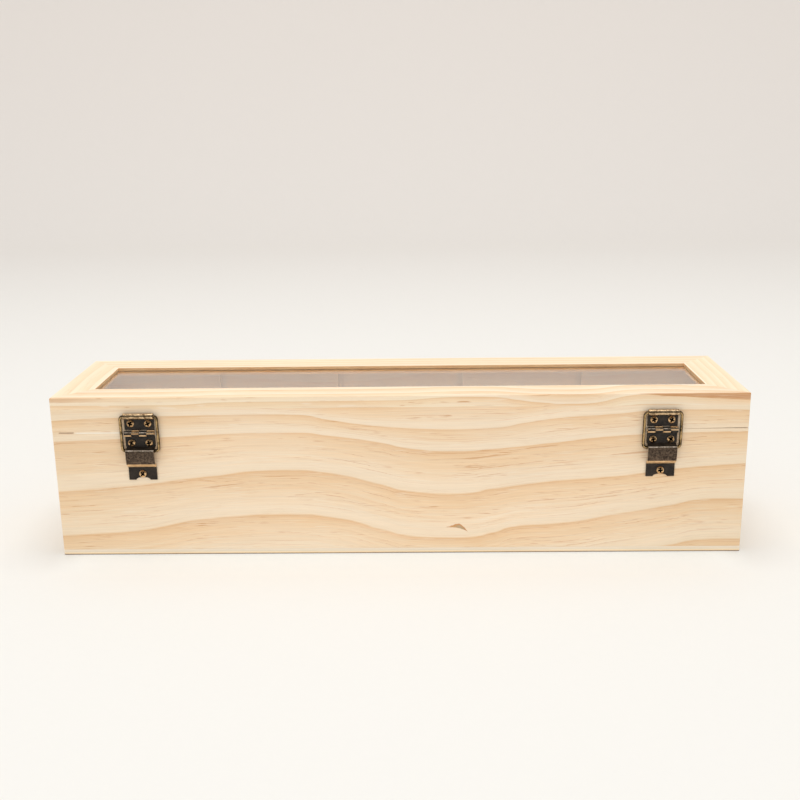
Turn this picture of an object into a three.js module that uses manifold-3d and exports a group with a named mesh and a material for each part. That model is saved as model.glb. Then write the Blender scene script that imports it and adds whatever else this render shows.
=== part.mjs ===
// Tabletop display case: a long, narrow pine box with five compartments and a glazed, hinged lid.
//
// Millimetres, +Z up, X along the length. The hinges are on the back, which faces -Y. The origin is the
// centre of the underside. "Left" is -X and "right" is +X, as seen from the hinged back.
//
// The walls are glued up mitred, four cross grooves are cut in the long walls, and the closed box is then
// sawn apart at the parting plane, so the lid sides carry on the walls and the grooves. The glazed top
// frame is glued on the lid sides, and the bottom panel is glued under the walls. Each of the two hinges
// has two knuckled leaves on a pin, and a wire ring that holds the lid when it stands open: its top wire
// turns in a curl of the lid leaf, and its bottom wire slides in a pocket behind the case leaf's bridge.

import * as THREE from 'three';
import { mergeVertices } from 'three/addons/utils/BufferGeometryUtils.js';
import Module from 'manifold-3d';

const wasm = await Module();
wasm.setup();

// Case
const CASE_LENGTH = 350;
const CASE_DEPTH = 82;
const CASE_HEIGHT = 84.5;
const PANEL_THICKNESS = 3;
const WALL_THICKNESS = 9;
const PARTING_Z = 66.2;

// Compartments
const COMPARTMENTS = 5;
const DIVIDER_THICKNESS = 3;
const DIVIDER_TOP_Z = 60;
const GROOVE_DEPTH = 3;
const GROOVE_CLEARANCE = 0.2;
const END_CLEARANCE = 0.3;

// Lid frame and its glass
const RAIL_WIDTH = 18;
const RAIL_THICKNESS = 6;
const GLASS_THICKNESS = 2;
const GLASS_RECESS = 1.6;
const GLASS_EDGE_IN_GROOVE = 4;

// The lid doesn't close quite flat: a wedge-shaped gap at the back right corner and a saw nick at the left
const WEDGE_GAP = 0.45;
const WEDGE_ALONG_BACK = 40;
const WEDGE_ALONG_END = 50;
const NICK_FROM_END = 3.4;
const NICK_LENGTH = 7.5;
const NICK_HEIGHT = 0.3;
const NICK_DEPTH = 2;

// Hinges. In a hinge's own group, Y = 0 is the wall's outer face, -Y is outward and Z = 0 is the pin's height.
const HINGE_XS = { left: -130.4, right: 131.8 };
const SHEET = 0.7;
const LEAF_WIDTH = 15.1;
const BRIDGE_WIDTH = 14.3;
const KNUCKLES = 4;
const KNUCKLE_GAP = 0.2;
const KNUCKLE_RADIUS = 1.5;
const BORE_RADIUS = 0.8;
const PIN_RADIUS = 0.7;
const PIN_LENGTH = 15.5;
const PIN_OUT = 1.7;
const LEAF_EDGE_Z = 1.75;
const CURL_OUT = 1.9;
const CURL_Z = 9.1;
const CURL_BORE = 0.9;
const BRIDGE_PROFILE = [
  [SHEET, -LEAF_EDGE_Z],
  [SHEET, -7.2],
  [4.8, -8.2],
  [4.55, -12.4],
  [3.6, -16.0],
  [SHEET, -18.1],
  [SHEET, -24.8],
];
const NOTCH_WIDTH = 6.8;
const NOTCH_HEIGHT = 1.4;

// Stay ring
const WIRE_RADIUS = 0.75;
const RING_HALF_WIDTH = 9.2;
const RING_BOTTOM_OUT = 1.1;
const RING_BOTTOM_Z = -9.3;
const RING_CORNER = 1.7;
const RING_BUTT_GAP = 0.3;

// Screws: [x, z] in the hinge's own group
const LID_SCREWS = [[-4.4, 5.0], [4.4, 5.0]];
const CASE_SCREWS = [[-4.4, -5.1], [4.4, -5.1], [0, -21.5]];
const SCREW_LENGTH = 7;
const SHANK_RADIUS = 0.9;
const HEAD_RADIUS = 1.9;
const HEAD_HEIGHT = 0.95;
const CROSS_LENGTH = 2.4;
const CROSS_WIDTH = 0.55;
const CROSS_DEPTH = 0.65;
const SCREW_HOLE_RADIUS = 1.3;
const PILOT_RADIUS = 1.2;
const PILOT_DEPTH = 7.6;

const SIDES_OF_ROUND = 24;
const SIDES_OF_SCREW = 16;
const SIDES_OF_HOLE = 12;
const CUT_MARGIN = 1;

const halfLength = CASE_LENGTH / 2;
const halfDepth = CASE_DEPTH / 2;
const railBottomZ = CASE_HEIGHT - RAIL_THICKNESS;
const glassTopZ = CASE_HEIGHT - GLASS_RECESS;
const glassBottomZ = glassTopZ - GLASS_THICKNESS;
const innerLength = CASE_LENGTH - 2 * WALL_THICKNESS;
const innerDepth = CASE_DEPTH - 2 * WALL_THICKNESS;
const dividerPitch = (innerLength + DIVIDER_THICKNESS) / COMPARTMENTS;

const pine = { color: 0xe9c896, roughness: 0.6, metalness: 0 };
const plywood = { color: 0xdcb684, roughness: 0.7, metalness: 0 };
const bronze = { color: 0x4a3c2c, roughness: 0.45, metalness: 0.8 };
const brass = { color: 0xb08d4f, roughness: 0.35, metalness: 0.9 };
const clearGlass = { color: 0xd8e4e0, roughness: 0.05, metalness: 0 };

// Geometry helpers

function signedVolume(positions, index) {
  const [a, b, c] = [new THREE.Vector3(), new THREE.Vector3(), new THREE.Vector3()];
  let volume = 0;
  for (let i = 0; i < index.length; i += 3) {
    a.fromArray(positions, 3 * index[i]);
    b.fromArray(positions, 3 * index[i + 1]);
    c.fromArray(positions, 3 * index[i + 2]);
    volume += a.dot(b.cross(c)) / 6;
  }
  return volume;
}

function toSolid(geometry) {
  const bare = geometry.clone();
  bare.deleteAttribute('normal');
  bare.deleteAttribute('uv');
  const merged = mergeVertices(bare, 1e-5);
  const vertProperties = new Float32Array(merged.attributes.position.array);
  const triVerts = new Uint32Array(merged.index.array);
  if (signedVolume(vertProperties, triVerts) < 0) {
    for (let i = 0; i < triVerts.length; i += 3) {
      [triVerts[i + 1], triVerts[i + 2]] = [triVerts[i + 2], triVerts[i + 1]];
    }
  }
  return new wasm.Manifold(new wasm.Mesh({ numProp: 3, vertProperties, triVerts }));
}

function toGeometry(solid) {
  const { vertProperties, triVerts } = solid.getMesh();
  const geometry = new THREE.BufferGeometry();
  geometry.setAttribute('position', new THREE.BufferAttribute(vertProperties, 3));
  geometry.setIndex(new THREE.BufferAttribute(triVerts, 1));
  return geometry;
}

function join(first, ...others) {
  return others.reduce((solid, other) => solid.add(toSolid(other)), toSolid(first));
}

function cut(solid, ...cutters) {
  return cutters.reduce((left, cutter) => left.subtract(toSolid(cutter)), solid);
}

function box([xLo, yLo, zLo], [xHi, yHi, zHi]) {
  const geometry = new THREE.BoxGeometry(xHi - xLo, yHi - yLo, zHi - zLo);
  return geometry.translate((xLo + xHi) / 2, (yLo + yHi) / 2, (zLo + zHi) / 2);
}

// An outline in plan, [x, y], standing from zLo to zHi
function upright(outline, zLo, zHi) {
  const shape = new THREE.Shape(outline.map(([x, y]) => new THREE.Vector2(x, y)));
  const geometry = new THREE.ExtrudeGeometry(shape, { depth: zHi - zLo, bevelEnabled: false });
  return geometry.translate(0, 0, zLo);
}

// An outline in [y, z], running from xLo to xHi
function alongX(outline, xLo, xHi) {
  const shape = new THREE.Shape(outline.map(([y, z]) => new THREE.Vector2(y, z)));
  const geometry = new THREE.ExtrudeGeometry(shape, { depth: xHi - xLo, bevelEnabled: false });
  const turn = new THREE.Matrix4().makeBasis(
    new THREE.Vector3(0, 1, 0),
    new THREE.Vector3(0, 0, 1),
    new THREE.Vector3(1, 0, 0),
  );
  return geometry.applyMatrix4(turn).translate(xLo, 0, 0);
}

// An outline in [x, z], running from yLo to yHi
function alongY(outline, yLo, yHi) {
  const shape = new THREE.Shape(outline.map(([x, z]) => new THREE.Vector2(x, z)));
  const geometry = new THREE.ExtrudeGeometry(shape, { depth: yHi - yLo, bevelEnabled: false });
  return geometry.rotateX(Math.PI / 2).translate(0, yHi, 0);
}

function roundAlongX(radius, xLo, xHi, y, z) {
  const geometry = new THREE.CylinderGeometry(radius, radius, xHi - xLo, SIDES_OF_ROUND);
  return geometry.rotateZ(Math.PI / 2).translate((xLo + xHi) / 2, y, z);
}

function roundAlongY(radius, yLo, yHi, x, z, sides) {
  const geometry = new THREE.CylinderGeometry(radius, radius, yHi - yLo, sides);
  return geometry.translate(x, (yLo + yHi) / 2, z);
}

// Four mitred members of a rectangular ring, each as its outline in plan
function mitredOutlines(width) {
  const [xOut, yOut] = [halfLength, halfDepth];
  const [xIn, yIn] = [halfLength - width, halfDepth - width];
  return {
    back: [[-xOut, -yOut], [xOut, -yOut], [xIn, -yIn], [-xIn, -yIn]],
    front: [[-xIn, yIn], [xIn, yIn], [xOut, yOut], [-xOut, yOut]],
    left: [[-xOut, -yOut], [-xIn, -yIn], [-xIn, yIn], [-xOut, yOut]],
    right: [[xIn, -yIn], [xOut, -yOut], [xOut, yOut], [xIn, yIn]],
  };
}

// The outline of a bent sheet from its outer face, given as [out, z]; the inner face lies nearer the wall
function sheetOutline(outer, thickness) {
  const points = outer.map(([out, z]) => new THREE.Vector2(-out, z));
  const inner = points.map((point, i) => {
    const before = points[Math.max(i - 1, 0)];
    const after = points[Math.min(i + 1, points.length - 1)];
    const towards = (from, to) => to.clone().sub(from).normalize();
    const normalOf = (direction) => new THREE.Vector2(-direction.y, direction.x);
    const first = normalOf(i === 0 ? towards(point, after) : towards(before, point));
    const second = normalOf(i === points.length - 1 ? towards(before, point) : towards(point, after));
    const middle = first.clone().add(second).normalize();
    return point.clone().addScaledVector(middle, thickness / middle.dot(first));
  });
  return [...points, ...inner.reverse()].map(({ x, y }) => [x, y]);
}

const group = new THREE.Group();

function addPiece(parent, name, shape, look) {
  const geometry = shape.isBufferGeometry ? shape : toGeometry(shape);
  const mesh = new THREE.Mesh(geometry, new THREE.MeshStandardMaterial(look));
  mesh.name = name;
  parent.add(mesh);
  return mesh;
}

// Box

function dividerXs() {
  return Array.from({ length: COMPARTMENTS - 1 }, (_, i) => (i - (COMPARTMENTS - 2) / 2) * dividerPitch);
}

// The cross grooves in a long wall; side is -1 at the back and +1 at the front
function crossGrooves(side, zLo, zHi) {
  const halfWidth = DIVIDER_THICKNESS / 2 + GROOVE_CLEARANCE;
  const face = side * (innerDepth / 2 - CUT_MARGIN);
  const floor = side * (innerDepth / 2 + GROOVE_DEPTH);
  const [yLo, yHi] = [Math.min(face, floor), Math.max(face, floor)];
  return dividerXs().map((x) => box([x - halfWidth, yLo, zLo], [x + halfWidth, yHi, zHi]));
}

function pilotHoles(screws) {
  return Object.values(HINGE_XS).flatMap((hingeX) =>
    screws.map(([x, z]) => {
      const y = -halfDepth;
      return roundAlongY(PILOT_RADIUS, y - CUT_MARGIN, y + PILOT_DEPTH, hingeX + x, PARTING_Z + z, SIDES_OF_HOLE);
    }),
  );
}

function addWalls() {
  const outlines = mitredOutlines(WALL_THICKNESS);
  const wall = (side) => toSolid(upright(outlines[side], PANEL_THICKNESS, PARTING_Z));
  const [zLo, zHi] = [PANEL_THICKNESS - CUT_MARGIN, PARTING_Z + CUT_MARGIN];
  addPiece(group, 'wall_back', cut(wall('back'), ...crossGrooves(-1, zLo, zHi), ...pilotHoles(CASE_SCREWS)), pine);
  addPiece(group, 'wall_front', cut(wall('front'), ...crossGrooves(1, zLo, zHi)), pine);
  addPiece(group, 'wall_left', wall('left'), pine);
  addPiece(group, 'wall_right', wall('right'), pine);
}

function addBottomPanel() {
  const panel = box([-halfLength, -halfDepth, 0], [halfLength, halfDepth, PANEL_THICKNESS]);
  addPiece(group, 'bottom_panel', panel, plywood);
}

function addDividers() {
  const reach = innerDepth / 2 + GROOVE_DEPTH - END_CLEARANCE;
  dividerXs().forEach((x, i) => {
    const lo = [x - DIVIDER_THICKNESS / 2, -reach, PANEL_THICKNESS];
    const hi = [x + DIVIDER_THICKNESS / 2, reach, DIVIDER_TOP_Z];
    addPiece(group, `divider_${i + 1}`, box(lo, hi), plywood);
  });
}

// Lid

function backWedge() {
  const start = halfLength - WEDGE_ALONG_BACK;
  const end = halfLength + CUT_MARGIN;
  const below = PARTING_Z - CUT_MARGIN;
  const top = PARTING_Z + WEDGE_GAP;
  const outline = [[start, PARTING_Z], [start, below], [end, below], [end, top], [halfLength, top]];
  return alongY(outline, -halfDepth - CUT_MARGIN, -innerDepth / 2 + CUT_MARGIN);
}

function endWedge() {
  const start = -halfDepth - CUT_MARGIN;
  const end = -halfDepth + WEDGE_ALONG_END;
  const below = PARTING_Z - CUT_MARGIN;
  const top = PARTING_Z + WEDGE_GAP;
  const outline = [[start, top], [start, below], [end, below], [end, PARTING_Z], [-halfDepth, top]];
  return alongX(outline, innerLength / 2 - CUT_MARGIN, halfLength + CUT_MARGIN);
}

function sawNick() {
  const x = -halfLength + NICK_FROM_END;
  const lo = [x, -halfDepth - CUT_MARGIN, PARTING_Z - CUT_MARGIN];
  const hi = [x + NICK_LENGTH, -halfDepth + NICK_DEPTH, PARTING_Z + NICK_HEIGHT];
  return box(lo, hi);
}

function addLidSides() {
  const outlines = mitredOutlines(WALL_THICKNESS);
  const side = (name) => toSolid(upright(outlines[name], PARTING_Z, railBottomZ));
  const [zLo, zHi] = [PARTING_Z - CUT_MARGIN, railBottomZ + CUT_MARGIN];
  const back = cut(side('back'), ...crossGrooves(-1, zLo, zHi), ...pilotHoles(LID_SCREWS), backWedge(), sawNick());
  addPiece(group, 'lid_side_back', back, pine);
  addPiece(group, 'lid_side_front', cut(side('front'), ...crossGrooves(1, zLo, zHi)), pine);
  addPiece(group, 'lid_side_left', side('left'), pine);
  addPiece(group, 'lid_side_right', cut(side('right'), endWedge()), pine);
}

function addLidFrame() {
  const windowHalf = [halfLength - RAIL_WIDTH, halfDepth - RAIL_WIDTH];
  const grooveHalf = windowHalf.map((half) => half + GLASS_EDGE_IN_GROOVE + END_CLEARANCE);
  const groove = box(
    [-grooveHalf[0], -grooveHalf[1], glassBottomZ],
    [grooveHalf[0], grooveHalf[1], glassTopZ],
  );
  for (const [side, outline] of Object.entries(mitredOutlines(RAIL_WIDTH))) {
    const rail = toSolid(upright(outline, railBottomZ, CASE_HEIGHT));
    addPiece(group, `frame_rail_${side}`, cut(rail, groove), pine);
  }
  const glassHalf = windowHalf.map((half) => half + GLASS_EDGE_IN_GROOVE);
  const pane = box([-glassHalf[0], -glassHalf[1], glassBottomZ], [glassHalf[0], glassHalf[1], glassTopZ]);
  addPiece(group, 'glass_pane', pane, clearGlass);
}

// Hinges

// The X range of one of the knuckles, counted from the left
function knuckleSpan(i) {
  const width = (LEAF_WIDTH - (KNUCKLES - 1) * KNUCKLE_GAP) / KNUCKLES;
  const start = -LEAF_WIDTH / 2 + i * (width + KNUCKLE_GAP);
  return [start, start + width];
}

// The rolled knuckles of one leaf, each with the tongue of sheet that joins it to the leaf's flat
function knucklePieces(indices, tongueZ) {
  return indices.flatMap((i) => {
    const [xLo, xHi] = knuckleSpan(i);
    const [zLo, zHi] = [Math.min(0, tongueZ), Math.max(0, tongueZ)];
    return [roundAlongX(KNUCKLE_RADIUS, xLo, xHi, -PIN_OUT, 0), box([xLo, -SHEET, zLo], [xHi, 0, zHi])];
  });
}

function pinBore() {
  return roundAlongX(BORE_RADIUS, -LEAF_WIDTH, LEAF_WIDTH, -PIN_OUT, 0);
}

function screwHoles(screws) {
  return screws.map(([x, z]) =>
    roundAlongY(SCREW_HOLE_RADIUS, -SHEET - CUT_MARGIN, CUT_MARGIN, x, z, SIDES_OF_HOLE),
  );
}

function lidLeaf() {
  const half = LEAF_WIDTH / 2;
  const flat = box([-half, -SHEET, LEAF_EDGE_Z], [half, 0, CURL_Z]);
  const curl = roundAlongX(KNUCKLE_RADIUS, -half, half, -CURL_OUT, CURL_Z);
  const curlBore = roundAlongX(CURL_BORE, -LEAF_WIDTH, LEAF_WIDTH, -CURL_OUT, CURL_Z);
  const blank = join(flat, curl, ...knucklePieces([1, 3], LEAF_EDGE_Z + SHEET));
  return cut(blank, pinBore(), curlBore, ...screwHoles(LID_SCREWS));
}

// The case leaf is one stamped sheet: a flat, a bridge that stands off the wall, and a tail with a notch
function caseLeaf() {
  const flatBottomZ = BRIDGE_PROFILE[1][1];
  const flat = box([-LEAF_WIDTH / 2, -SHEET, flatBottomZ], [LEAF_WIDTH / 2, 0, -LEAF_EDGE_Z]);
  const bridge = alongX(sheetOutline(BRIDGE_PROFILE, SHEET), -BRIDGE_WIDTH / 2, BRIDGE_WIDTH / 2);
  const blank = join(flat, bridge, ...knucklePieces([0, 2], -LEAF_EDGE_Z - SHEET));
  const tailZ = BRIDGE_PROFILE.at(-1)[1];
  const notchRadius = ((NOTCH_WIDTH / 2) ** 2 + NOTCH_HEIGHT ** 2) / (2 * NOTCH_HEIGHT);
  const notchZ = tailZ + NOTCH_HEIGHT - notchRadius;
  const notch = roundAlongY(notchRadius, -SHEET - CUT_MARGIN, CUT_MARGIN, 0, notchZ, 2 * SIDES_OF_ROUND);
  return cut(blank, pinBore(), ...screwHoles(CASE_SCREWS), notch);
}

// A path that is stepped at its own points instead of at equal lengths
class SteppedPath extends THREE.Curve {
  constructor(points) {
    super();
    this.points = points;
  }

  getPointAt(t, target = new THREE.Vector3()) {
    return target.copy(this.points[Math.round(t * (this.points.length - 1))]);
  }

  getTangentAt(t, target = new THREE.Vector3()) {
    const i = Math.round(t * (this.points.length - 1));
    const before = this.points[Math.max(i - 1, 0)];
    const after = this.points[Math.min(i + 1, this.points.length - 1)];
    return target.copy(after).sub(before).normalize();
  }
}

// A wire bent to a rounded rectangle, its ends butted at the middle of the bottom run
function stayRing() {
  const height = Math.hypot(CURL_OUT - RING_BOTTOM_OUT, CURL_Z - RING_BOTTOM_Z);
  const [x, r] = [RING_HALF_WIDTH - RING_CORNER, RING_CORNER];
  const centres = [[x, -height + r], [x, -r], [-x, -r], [-x, -height + r]];
  const stepsPerCorner = 6;
  const corners = centres.flatMap(([cx, cz], corner) =>
    Array.from({ length: stepsPerCorner + 1 }, (_, step) => {
      const angle = (corner - 1 + step / stepsPerCorner) * (Math.PI / 2);
      return new THREE.Vector3(cx + r * Math.cos(angle), 0, cz + r * Math.sin(angle));
    }),
  );
  const start = new THREE.Vector3(RING_BUTT_GAP / 2, 0, -height);
  const end = new THREE.Vector3(-RING_BUTT_GAP / 2, 0, -height);
  const path = new SteppedPath([start, ...corners, end]);
  const section = new THREE.Shape().absarc(0, 0, WIRE_RADIUS, 0, 2 * Math.PI);
  const steps = path.points.length - 1;
  return new THREE.ExtrudeGeometry(section, { steps, extrudePath: path, curveSegments: SIDES_OF_ROUND / 4 });
}

function screw(turn) {
  const profile = [
    [0, SCREW_LENGTH],
    [SHANK_RADIUS, SCREW_LENGTH - 2 * SHANK_RADIUS],
    [SHANK_RADIUS, 0],
    [HEAD_RADIUS, 0],
    [HEAD_RADIUS, -0.35 * HEAD_HEIGHT],
    [0.85 * HEAD_RADIUS, -0.8 * HEAD_HEIGHT],
    [0.5 * HEAD_RADIUS, -HEAD_HEIGHT],
    [0, -HEAD_HEIGHT],
  ].map(([r, y]) => new THREE.Vector2(r, y));
  const blank = toSolid(new THREE.LatheGeometry(profile, SIDES_OF_SCREW));
  const slot = (long, wide) =>
    box([-long / 2, -HEAD_HEIGHT - CUT_MARGIN, -wide / 2], [long / 2, CROSS_DEPTH - HEAD_HEIGHT, wide / 2])
      .rotateY(turn);
  return cut(blank, slot(CROSS_LENGTH, CROSS_WIDTH), slot(CROSS_WIDTH, CROSS_LENGTH));
}

function addHinge(side, hingeX) {
  const hinge = new THREE.Group();
  hinge.position.set(hingeX, -halfDepth, PARTING_Z);
  group.add(hinge);
  const prefix = `hinge_${side}`;
  addPiece(hinge, `${prefix}_lid_leaf`, lidLeaf(), bronze);
  addPiece(hinge, `${prefix}_case_leaf`, caseLeaf(), bronze);
  const pin = roundAlongX(PIN_RADIUS, -PIN_LENGTH / 2, PIN_LENGTH / 2, -PIN_OUT, 0);
  addPiece(hinge, `${prefix}_pin`, pin, brass);

  const ring = addPiece(hinge, `${prefix}_stay_ring`, stayRing(), bronze);
  ring.position.set(0, -CURL_OUT, CURL_Z);
  ring.rotation.x = Math.atan2(CURL_OUT - RING_BOTTOM_OUT, CURL_Z - RING_BOTTOM_Z);

  const places = [...LID_SCREWS.map((place) => ['lid', place]), ...CASE_SCREWS.map((place) => ['case', place])];
  places.forEach(([onto, [x, z]], i) => {
    const turn = THREE.MathUtils.degToRad((hingeX > 0 ? 25 : 70) + 40 * i);
    const piece = addPiece(hinge, `${prefix}_${onto}_screw_${i + 1}`, screw(turn), brass);
    piece.position.set(x, -SHEET, z);
  });
}

addBottomPanel();
addWalls();
addDividers();
addLidSides();
addLidFrame();
addHinge('left', HINGE_XS.left);
addHinge('right', HINGE_XS.right);

export default group;
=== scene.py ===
"""Looks of the tabletop display case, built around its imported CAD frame.

The scene is in metres, in the CAD's frame: X along the length, Z up, and the hinges on the back, which
faces -Y. Boards and hinge parts are built at rest in that frame, so a material's object coordinates are
the CAD's own. Each lid side is the same board as the wall under it, so the two share one grain.
"""

import math

import bmesh
import bpy
from mathutils import Matrix, Vector


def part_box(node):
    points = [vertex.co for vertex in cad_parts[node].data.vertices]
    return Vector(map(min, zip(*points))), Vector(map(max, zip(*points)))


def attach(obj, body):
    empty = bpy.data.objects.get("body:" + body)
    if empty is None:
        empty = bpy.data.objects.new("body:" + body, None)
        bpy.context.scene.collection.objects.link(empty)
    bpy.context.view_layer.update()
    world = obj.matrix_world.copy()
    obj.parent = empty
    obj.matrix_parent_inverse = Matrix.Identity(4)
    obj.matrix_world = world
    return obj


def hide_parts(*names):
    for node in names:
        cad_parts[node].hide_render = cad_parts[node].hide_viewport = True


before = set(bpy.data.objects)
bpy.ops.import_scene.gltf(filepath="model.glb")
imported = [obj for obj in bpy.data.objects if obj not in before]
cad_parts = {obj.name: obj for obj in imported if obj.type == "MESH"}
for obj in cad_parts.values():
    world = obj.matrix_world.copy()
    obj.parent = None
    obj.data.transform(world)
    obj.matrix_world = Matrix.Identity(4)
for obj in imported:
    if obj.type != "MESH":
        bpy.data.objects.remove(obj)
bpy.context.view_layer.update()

MM = 0.001
case_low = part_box("bottom_panel")[0] / MM
case_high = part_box("frame_rail_front")[1] / MM
back_y, front_y = case_low.y, case_high.y
left_x, right_x = case_low.x, case_high.x
top_z = case_high.z
panel_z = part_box("bottom_panel")[1].z / MM
parting_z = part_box("wall_back")[1].z / MM


# Shader formulas

class Value:
    """A number, vector or colour at each point of a surface: a socket that takes part in formulas."""

    def __init__(self, socket):
        self.socket = socket
        self.tree = socket.id_data

    def math(self, operation, *others):
        node = self.tree.nodes.new("ShaderNodeMath")
        node.operation = operation
        for slot, value in zip(node.inputs, (self, *others)):
            feed(slot, value)
        return Value(node.outputs[0])

    def __add__(self, other):
        return self.math("ADD", other)

    def __sub__(self, other):
        return self.math("SUBTRACT", other)

    def __mul__(self, other):
        return self.math("MULTIPLY", other)

    def __truediv__(self, other):
        return self.math("DIVIDE", other)

    def rising(self, low, high):
        """0 below low, 1 above high and smooth between them. With low above high it falls instead."""
        node = self.tree.nodes.new("ShaderNodeMapRange")
        node.interpolation_type = "SMOOTHSTEP"
        start, end = (low, high) if low < high else (high, low)
        feed(node.inputs["Value"], self)
        feed(node.inputs["From Min"], start)
        feed(node.inputs["From Max"], end)
        feed(node.inputs["To Min"], 0.0 if low < high else 1.0)
        feed(node.inputs["To Max"], 1.0 if low < high else 0.0)
        return Value(node.outputs["Result"])

    def clamped(self):
        node = self.tree.nodes.new("ShaderNodeClamp")
        feed(node.inputs["Value"], self)
        return Value(node.outputs["Result"])

    def through(self, points):
        """The height of a smooth line through the points, where this number is the way along them."""
        node = self.tree.nodes.new("ShaderNodeFloatCurve")
        (start, _), (end, _) = points[0], points[-1]
        heights = [height for _, height in points]
        low, high = min(heights), max(heights)
        line = node.mapping.curves[0].points
        while len(line) < len(points):
            line.new(0.5, 0.5)
        for point, (way, height) in zip(line, points):  # a curve node takes 0 to 1 both ways
            point.location = ((way - start) / (end - start), (height - low) / (high - low))
        node.mapping.update()
        feed(node.inputs["Value"], (self - start) / (end - start))
        return Value(node.outputs["Value"]) * (high - low) + low

    def ramp(self, stops):
        """A colour that changes with this number; stops are (position, colour)."""
        node = self.tree.nodes.new("ShaderNodeValToRGB")
        elements = node.color_ramp.elements
        while len(elements) < len(stops):
            elements.new(1.0)
        for element, (position, colour) in zip(elements, stops):
            element.position = position
            element.color = colour
        feed(node.inputs["Fac"], self)
        return Value(node.outputs["Color"])

    def ramp_between(self, start, end, stops):
        """A colour that changes as this number goes from start to end; stops are (share, colour)."""
        return ((self - start) / (end - start)).ramp(stops)

    def length(self):
        """The length of a vector."""
        node = self.tree.nodes.new("ShaderNodeVectorMath")
        node.operation = "LENGTH"
        feed(node.inputs[0], self)
        return Value(node.outputs["Value"])

    def scaled(self, factor):
        """A colour or vector times a number."""
        node = self.tree.nodes.new("ShaderNodeVectorMath")
        node.operation = "SCALE"
        feed(node.inputs[0], self)
        feed(node.inputs["Scale"], factor)
        return Value(node.outputs[0])

    def towards(self, other, share, blend="MIX"):
        """This colour mixed with another, or blended with it."""
        node = self.tree.nodes.new("ShaderNodeMix")
        node.data_type = "RGBA"
        node.blend_type = blend
        feed(node.inputs[0], share)
        feed(node.inputs[6], self)
        feed(node.inputs[7], other)
        return Value(node.outputs[2])

    def noise(self, size, seed, detail=2.0, roughness=0.5):
        """Noise from 0 to 1 at this place, with features of about that size in each direction."""
        spread = self.tree.nodes.new("ShaderNodeVectorMath")
        spread.operation = "MULTIPLY_ADD"
        feed(spread.inputs[0], self)
        feed(spread.inputs[1], tuple(1 / s for s in size))
        feed(spread.inputs[2], (7.31 * seed, -3.7 * seed, 1.9 * seed))
        node = self.tree.nodes.new("ShaderNodeTexNoise")
        feed(node.inputs["Vector"], Value(spread.outputs[0]))
        feed(node.inputs["Scale"], 1.0)
        feed(node.inputs["Detail"], detail)
        feed(node.inputs["Roughness"], roughness)
        return Value(node.outputs["Fac"])


def feed(socket, value):
    """Links a value to a node's input, or sets a plain one."""
    if isinstance(value, Value):
        socket.id_data.links.new(value.socket, socket)
    else:
        socket.default_value = value


def vector(x, y, z):
    """A vector from three numbers, the first of them a Value."""
    node = x.tree.nodes.new("ShaderNodeCombineXYZ")
    for slot, value in zip(node.inputs, (x, y, z)):
        feed(slot, value)
    return Value(node.outputs[0])


def millimetres(tree):
    """The rest position of each point of a surface, in millimetres."""
    coordinates = tree.nodes.new("ShaderNodeTexCoord")
    return Value(coordinates.outputs["Object"]).scaled(1 / MM)


def split(place):
    """The X, Y and Z of a vector."""
    node = place.tree.nodes.new("ShaderNodeSeparateXYZ")
    feed(node.inputs[0], place)
    return [Value(output) for output in node.outputs]


def tint(red, green, blue):
    """A scene colour from the 0 to 255 numbers of a screen colour."""
    shares = (red / 255, green / 255, blue / 255)
    return (*(c / 12.92 if c <= 0.04045 else ((c + 0.055) / 1.055) ** 2.4 for c in shares), 1.0)


def new_material(name):
    """A new material, its node tree and its surface shader."""
    material = bpy.data.materials.new(name)
    material.use_nodes = True
    tree = material.node_tree
    return material, tree, tree.nodes["Principled BSDF"]


def add_bump(tree, shader, height, depth):
    """Raises the surface by up to depth millimetres where height is 1."""
    node = tree.nodes.new("ShaderNodeBump")
    feed(node.inputs["Height"], height)
    feed(node.inputs["Distance"], depth * MM)
    feed(shader.inputs["Normal"], Value(node.outputs[0]))


# Board axes: (X, Y or Z, direction, start in mm)

X_AXIS, Y_AXIS, Z_AXIS = 0, 1, 2
FROM_BACK = (Y_AXIS, 1, back_y)
FROM_FRONT = (Y_AXIS, -1, front_y)
FROM_LEFT = (X_AXIS, 1, left_x)
FROM_RIGHT = (X_AXIS, -1, right_x)
FROM_TOP = (Z_AXIS, -1, top_z)
ALONG_X = (X_AXIS, 1, 0)
ALONG_Y = (Y_AXIS, 1, 0)
UP = (Z_AXIS, 1, 0)


# Pine

PALE_WOOD = tint(245, 225, 198)

# One growth ring, from the hard dark line where it ends down to the next ring's line
RING = [
    (0.0, tint(229, 187, 143)),
    (0.04, tint(235, 198, 155)),
    (0.14, tint(239, 206, 166)),
    (0.34, tint(241, 211, 174)),
    (0.58, tint(243, 218, 186)),
    (0.82, PALE_WOOD),
    (0.965, tint(243, 222, 193)),
    (1.0, tint(234, 198, 155)),
]
RESIN = tint(206, 146, 94)
PALE_DASH = tint(250, 234, 212)
BRIGHTNESS = 1.038
END_SHADE = (0.95, 0.942, 0.915, 1.0)

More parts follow.
